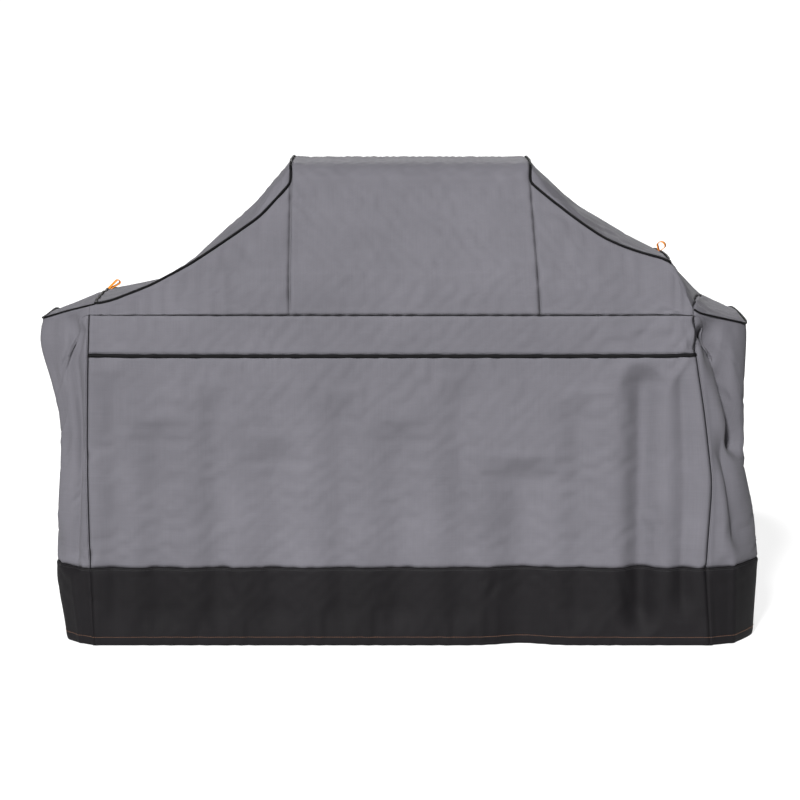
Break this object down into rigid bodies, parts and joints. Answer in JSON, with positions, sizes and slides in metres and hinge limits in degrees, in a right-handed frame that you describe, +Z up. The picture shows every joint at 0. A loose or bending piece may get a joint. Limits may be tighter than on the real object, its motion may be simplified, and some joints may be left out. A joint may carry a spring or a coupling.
{
  "type": "grill cover",
  "caption": "Full-length fitted cloth cover for a wide pellet grill: raised hood, sloping shoulders, black lower band, drawcord hem and pull loops.",
  "frame": {"origin": "on the ground, at the middle of the cover's footprint", "axes": "+X along the cover's width to the viewer's right, -Y out of its front, +Z up"},
  "size_m": [1.8787, 0.668, 1.225],
  "materials": {
    "grey_cloth": "matte",
    "black_cloth": "matte",
    "black_piping": "satin",
    "seam_tape": "matte",
    "black_cord": "matte",
    "orange_webbing": "matte",
    "eyelet_metal": "satin",
    "lock_plastic": "satin",
    "spring_steel": "satin"
  },
  "bodies": {
    "cover": {"hood_centre_panel": "grey_cloth", "left_front_shoulder_panel": "grey_cloth", "right_front_shoulder_panel": "grey_cloth", "left_back_shoulder_panel": "grey_cloth", "right_back_shoulder_panel": "grey_cloth", "left_top_gusset": "grey_cloth", "right_top_gusset": "grey_cloth", "left_shelf_gusset": "grey_cloth", "right_shelf_gusset": "grey_cloth", "front_band_panel": "grey_cloth", "back_band_panel": "grey_cloth", "front_skirt_panel": "grey_cloth", "back_skirt_panel": "grey_cloth", "left_side_panel": "grey_cloth", "right_side_panel": "grey_cloth", "front_lower_band": "black_cloth", "back_lower_band": "black_cloth", "left_lower_band": "black_cloth", "right_lower_band": "black_cloth", "left_gusset_piping": "black_piping", "right_gusset_piping": "black_piping", "left_shelf_piping": "black_piping", "right_shelf_piping": "black_piping", "front_band_piping": "black_piping", "back_band_piping": "black_piping", "lower_band_seam_tape": "seam_tape", "front_left_seam_tape": "seam_tape", "front_right_seam_tape": "seam_tape", "back_left_seam_tape": "seam_tape", "back_right_seam_tape": "seam_tape", "front_band_seam_tape": "seam_tape", "back_band_seam_tape": "seam_tape", "left_hood_seam_tape": "seam_tape", "right_hood_seam_tape": "seam_tape", "hem_drawcord": "black_cord", "drawcord_loop": "black_cord", "drawcord_eyelets": "eyelet_metal"},
    "cord_lock": {"cord_lock_barrel": "lock_plastic", "cord_lock_spring": "spring_steel"},
    "lock_plunger": {"cord_lock_plunger": "lock_plastic"},
    "left_loop": {"left_pull_loop": "orange_webbing"},
    "right_loop": {"right_pull_loop": "orange_webbing"}
  },
  "joints": [
    {"name": "left_loop_flop", "type": "hinge", "parent": "cover", "child": "left_loop", "pos_m": [-0.76452, 0, 0.88023], "axis": [0, -1, 0], "range_deg": [-15, 130], "stiffness_Nm_per_rad": 0.01},
    {"name": "right_loop_flop", "type": "hinge", "parent": "cover", "child": "right_loop", "pos_m": [0.67919, 0, 0.98038], "axis": [0, -1, 0], "range_deg": [-50, 25], "stiffness_Nm_per_rad": 0.01},
    {"name": "cord_lock_slide", "type": "slide", "parent": "cover", "child": "cord_lock", "axis": [0, 1, 0], "range_m": [0, 0.01]},
    {"name": "lock_plunger_press", "type": "slide", "parent": "cord_lock", "child": "lock_plunger", "axis": [0, 0, 1], "range_m": [-0.0045, 0], "stiffness_N_per_m": 600, "springref_m": 0.003, "deforming": ["cord_lock_spring"]}
  ]
}
